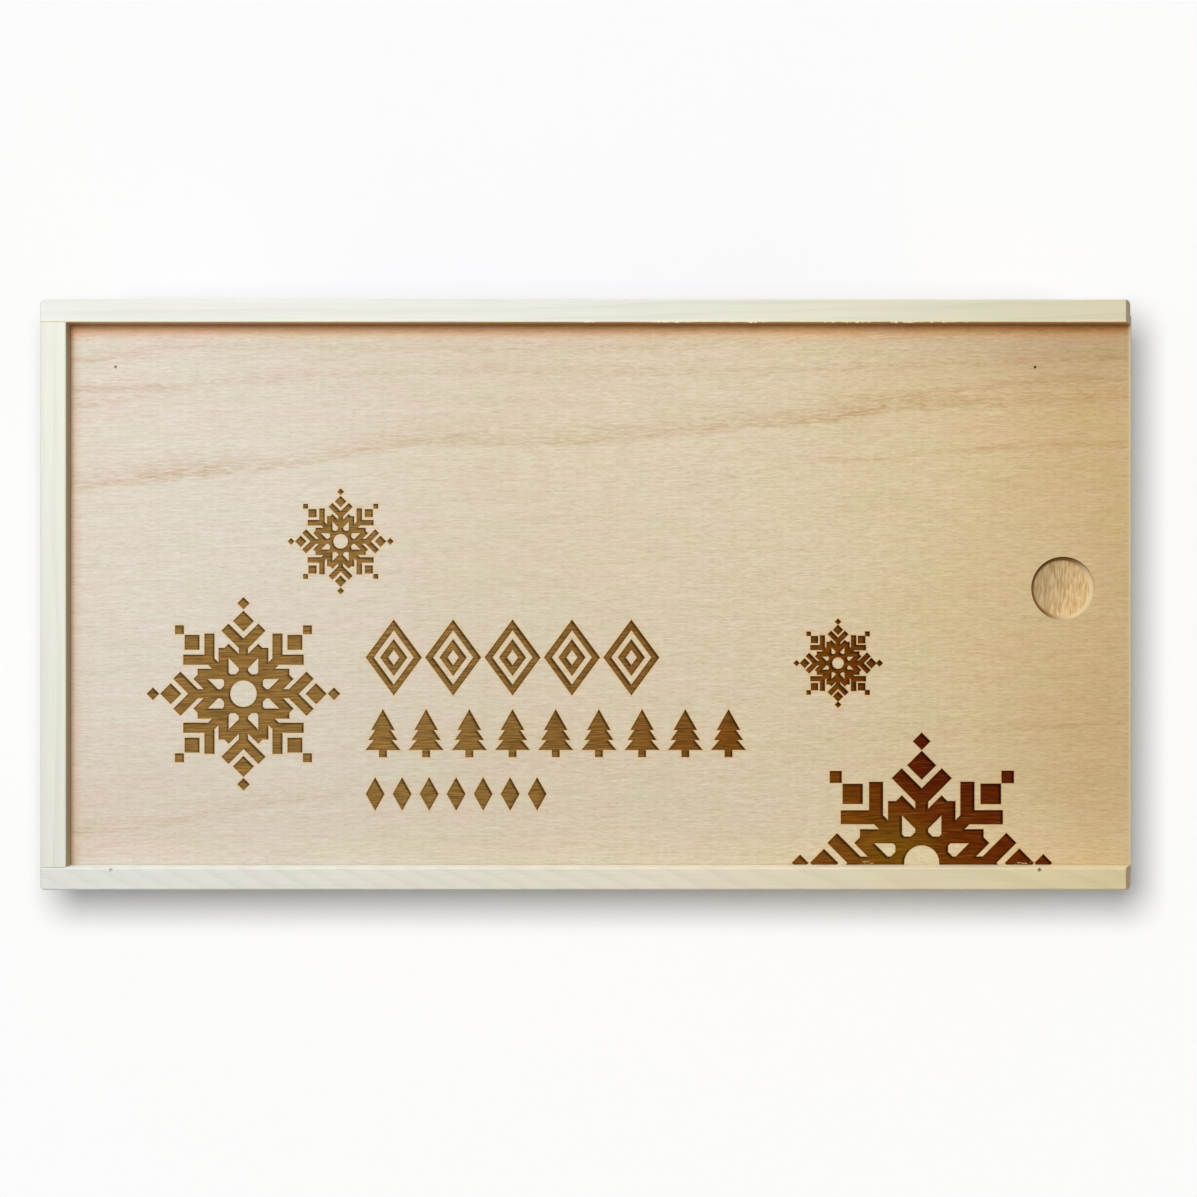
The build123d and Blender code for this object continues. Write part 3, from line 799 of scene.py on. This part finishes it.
def makeLidPly():
    s = lidSettings
    engraving, recess = s["burn"], s["edge"]
    material, tree, surface, point = startMaterial("lidPly")
    x, y, z = split(tree, point)
    depth = calc(tree, "SUBTRACT", lidHigh.z, z)
    veneer, figure, fleck, grain, drift = makeLidFace(tree, point)
    outside = place(tree, engravingField, Point=point)["Distance"]
    burn = makeBurn(tree, point, grain, drift)
    face = scorchFace(tree, point, veneer, burn, outside)
    fromMiddle = inPlan(tree, point, recess["recessMiddle"])
    inRecess = calc(tree, "LESS_THAN", vec(tree, "LENGTH", fromMiddle), recess["recessRadius"])
    edge = makeLidEdge(tree, point, depth, veneer, fromMiddle, inRecess)
    # which part of the sheet a point lies on
    below = calc(tree, "GREATER_THAN", depth, engraving["faceDepth"])
    underside = calc(tree, "GREATER_THAN", depth, lidHigh.z - lidLow.z - engraving["faceDepth"])
    burnt = times(
        tree, below, calc(tree, "LESS_THAN", depth, engraving["floorDepth"]),
        calc(tree, "LESS_THAN", outside, engraving["figureReach"]),
        calc(tree, "LESS_THAN", x, lidHigh.x - engraving["openMargin"]),
        calc(tree, "GREATER_THAN", x, closedFace - engraving["lipMargin"]),
        calc(tree, "LESS_THAN", calc(tree, "ABSOLUTE", y), lipFace + engraving["lipMargin"]),
        calc(tree, "SUBTRACT", 1.0, inRecess),
    )
    colour = mix(tree, below, face, edge)
    colour = mix(tree, underside, colour, veneer)
    colour = mix(tree, burnt, colour, burn)
    feed(tree, surface.inputs["Base Color"], colour)
    roughen(tree, surface, figure["Fibre"], *s["roughness"])
    surface.inputs["Specular IOR Level"].default_value = s["gleam"]
    height = calc(tree, "ADD", figure["Fibre"], figure["Wisp"])
    addRelief(tree, surface, calc(tree, "MULTIPLY_ADD", fleck, s["fleckRelief"], height), s["relief"])
    return material


dress(makeLidPly(), "lid_panel")
print("lid dressed")


# Base: plain thin plywood with the same beech flecks

baseSettings = {"light": (0.70, 0.59, 0.43), "dark": (0.60, 0.48, 0.32), "streakRange": (0.25, 0.75),
                "pith": (0, 30, 900), "ring": 6.0, "sway": 40.0, "brightness": 1.02,
                "wispShade": 0.28, "fibreShade": 0.2, "fleckShade": -0.10, "ringShade": -0.06,
                "roughness": (0.52, 0.2), "gleam": 0.2, "relief": 0.3}


def makeBasePly():
    s = baseSettings
    material, tree, surface, point = startMaterial("basePly")
    rings = place(tree, timberFigure, Point=point, Pith=s["pith"], Ring=s["ring"], Sway=s["sway"])["Rings"]
    figure = place(tree, veneerFigure, Point=point)
    fleck = place(tree, rayFlecks, Point=point)["Fleck"]
    colour = mix(tree, rise(tree, figure["Streak"], *s["streakRange"]), s["dark"], s["light"])
    shade = swing(tree, figure["Wisp"], s["wispShade"], s["brightness"])
    shade = swing(tree, figure["Fibre"], s["fibreShade"], shade)
    shade = calc(tree, "MULTIPLY_ADD", fleck, s["fleckShade"], shade)
    shade = calc(tree, "MULTIPLY_ADD", rings, s["ringShade"], shade)
    feed(tree, surface.inputs["Base Color"], scaled(tree, colour, shade))
    roughen(tree, surface, figure["Fibre"], *s["roughness"])
    surface.inputs["Specular IOR Level"].default_value = s["gleam"]
    addRelief(tree, surface, calc(tree, "ADD", figure["Fibre"], figure["Wisp"]), s["relief"])
    return material


dress(makeBasePly(), "base_panel")


# Brads: dull steel wire with a little tarnish

bradSettings = {"bright": (0.50, 0.49, 0.47), "tarnished": (0.30, 0.27, 0.24), "cloud": (0.5, 0.5, 0.5),
                "tarnishRange": (0.35, 0.7), "roughness": (0.32, 0.25)}


def makeBradSteel():
    s = bradSettings
    material, tree, surface, point = startMaterial("bradSteel")
    tarnish = rise(tree, noise(tree, point, s["cloud"], 3), *s["tarnishRange"])
    feed(tree, surface.inputs["Base Color"], mix(tree, tarnish, s["bright"], s["tarnished"]))
    roughen(tree, surface, tarnish, *s["roughness"])
    surface.inputs["Metallic"].default_value = 1.0
    return material


dress(makeBradSteel(), *(name for name in nodes if name.startswith("brads")))
print("base and brads dressed")


# Stage: pale floor, white surroundings, a soft key from the upper left on the box, a low lamp from behind
# on the front wall's lip, and a soft lamp beside the camera that gives the floor its shadow

stageSettings = {
    "floorReach": 8000, "floorTone": 0.55, "paleTone": 0.88, "floorRoughness": 0.9,
    "fill": 0.30, "white": 0.965, "lampShare": 0.70,
    "thrownTone": (0.12, 0.105, 0.035), "thrownFade": 55, "thrownSide": (60, 230), "thrownStart": 15,
    "backShade": 0.055, "shadeReach": (17, 26), "shadeSide": (170, 190),
    "key": {"place": (-255, 490, 1200), "size": (500, 800), "energy": 14.2},
    "floorLamp": {"place": (-27.5, 43, 705), "size": (119.5, 119.5)},
    "lipLamp": {"turn": -70.0, "breadth": 12.0, "energy": 0.45},
}


def makeFloor():
    s = stageSettings
    side = s["floorReach"] * mm
    corners = [(-side, -side, 0), (side, -side, 0), (side, side, 0), (-side, side, 0)]
    mesh = bpy.data.meshes.new("floor")
    mesh.from_pydata(corners, [], [(0, 1, 2, 3)])
    floor = bpy.data.objects.new("floor", mesh)
    bpy.context.scene.collection.objects.link(floor)
    material, tree, surface, point = startMaterial("floorPaper")
    # the lamp's light falls off as (h^2 / (h^2 + r^2))^2 round its foot; the paper's tone makes up for it,
    # and a glow that only the camera sees brings the open floor to an even white
    lampX, lampY, lampHeight = s["floorLamp"]["place"]
    offset = inPlan(tree, point, (lampX, lampY))
    reach = calc(tree, "ADD", vec(tree, "DOT_PRODUCT", offset, offset), lampHeight**2)
    falloff = calc(tree, "POWER", calc(tree, "DIVIDE", lampHeight**2, reach), 2.0)
    tone = calc(tree, "MINIMUM", calc(tree, "DIVIDE", s["floorTone"], falloff), s["paleTone"])
    feed(tree, surface.inputs["Base Color"], join(tree, tone, tone, tone))
    surface.inputs["Roughness"].default_value = s["floorRoughness"]
    surface.inputs["Specular IOR Level"].default_value = 0.0
    lampLight = times(tree, tone, falloff, s["lampShare"] / s["floorTone"])
    glow = calc(tree, "SUBTRACT", s["white"], calc(tree, "MULTIPLY_ADD", tone, s["fill"], lampLight))
    # less the warm light that the back wall throws behind the box, which fades as exp(-distance / fade),
    # and less a narrow shade along that wall
    x, y, _ = split(tree, point)
    aside = calc(tree, "ABSOLUTE", x)
    behind = calc(tree, "MAXIMUM", calc(tree, "SUBTRACT", y, backHigh.y), 0.0)
    begun = rise(tree, behind, 0.0, s["thrownStart"])
    thrown = calc(tree, "EXPONENT", calc(tree, "DIVIDE", behind, -s["thrownFade"]))
    thrown = times(tree, thrown, fall(tree, aside, *s["thrownSide"]), begun)
    shade = times(tree, fall(tree, behind, *s["shadeReach"], s["backShade"]), begun,
                  fall(tree, aside, *s["shadeSide"]))
    glow = calc(tree, "SUBTRACT", glow, shade)
    warm = vec(tree, "MULTIPLY", join(tree, thrown, thrown, thrown), s["thrownTone"])
    glow = vec(tree, "MAXIMUM", vec(tree, "SUBTRACT", join(tree, glow, glow, glow), warm), (0, 0, 0))
    feed(tree, surface.inputs["Emission Color"], glow)
    seen = tree.nodes.new("ShaderNodeLightPath").outputs["Is Camera Ray"]
    feed(tree, surface.inputs["Emission Strength"], seen)
    mesh.materials.append(material)
    floor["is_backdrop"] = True
    return floor


def makeWorld():
    # white where it is seen or mirrored, dimmer where it lights
    fill = stageSettings["fill"]
    world = bpy.data.worlds.new("studio")
    world.use_nodes = True
    tree = world.node_tree
    path = tree.nodes.new("ShaderNodeLightPath").outputs
    mirrored = calc(tree, "MAXIMUM", path["Is Glossy Ray"], path["Is Transmission Ray"])
    seen = calc(tree, "MAXIMUM", path["Is Camera Ray"], mirrored)
    background = tree.nodes["Background"].inputs
    feed(tree, background["Strength"], calc(tree, "MULTIPLY_ADD", seen, 1 - fill, fill))
    background["Color"].default_value = (1, 1, 1, 1)
    bpy.context.scene.world = world


def addLamp(name, energy, receivers):
    s = stageSettings[name]
    light = bpy.data.lights.new(name, "AREA" if "place" in s else "SUN")
    light.energy = energy
    lamp = bpy.data.objects.new(name, light)
    if "place" in s:  # unturned, so it shines straight down
        light.shape = "ELLIPSE"
        light.size, light.size_y = (length * mm for length in s["size"])
        lamp.location = [length * mm for length in s["place"]]
    else:
        light.angle = math.radians(s["breadth"])
        lamp.rotation_euler.x = math.radians(s["turn"])
    lamp.visible_camera = False
    bpy.context.scene.collection.objects.link(lamp)
    lit = bpy.data.collections.new(name + "Lights")
    for receiver in receivers:
        lit.objects.link(receiver)
    lamp.light_linking.receiver_collection = lit


def makeStage():
    s = stageSettings
    floor = makeFloor()
    makeWorld()
    lampHeight = s["floorLamp"]["place"][2] * mm
    addLamp("key", s["key"]["energy"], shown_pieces())
    addLamp("lipLamp", s["lipLamp"]["energy"], [nodes["side_wall_front"]])
    addLamp("floorLamp", s["lampShare"] / s["floorTone"] * (math.pi * lampHeight) ** 2, [floor])


makeStage()


# Camera straight above, a little to the right of the box's middle

cameraSettings = {"place": (3.3, -1.25), "aboveRim": 600.0, "frameWidth": 395.08, "sensor": 36.0}


def makeCamera():
    s = cameraSettings
    data = bpy.data.cameras.new("camera")
    data.sensor_width = s["sensor"]
    data.lens = s["sensor"] * s["aboveRim"] / s["frameWidth"]
    camera = bpy.data.objects.new("camera", data)
    camera.location = (s["place"][0] * mm, s["place"][1] * mm, (rim + s["aboveRim"]) * mm)
    bpy.context.scene.collection.objects.link(camera)
    bpy.context.scene.camera = camera


makeCamera()
bpy.context.scene.view_settings.view_transform = "Standard"
print("stage, light and camera set")
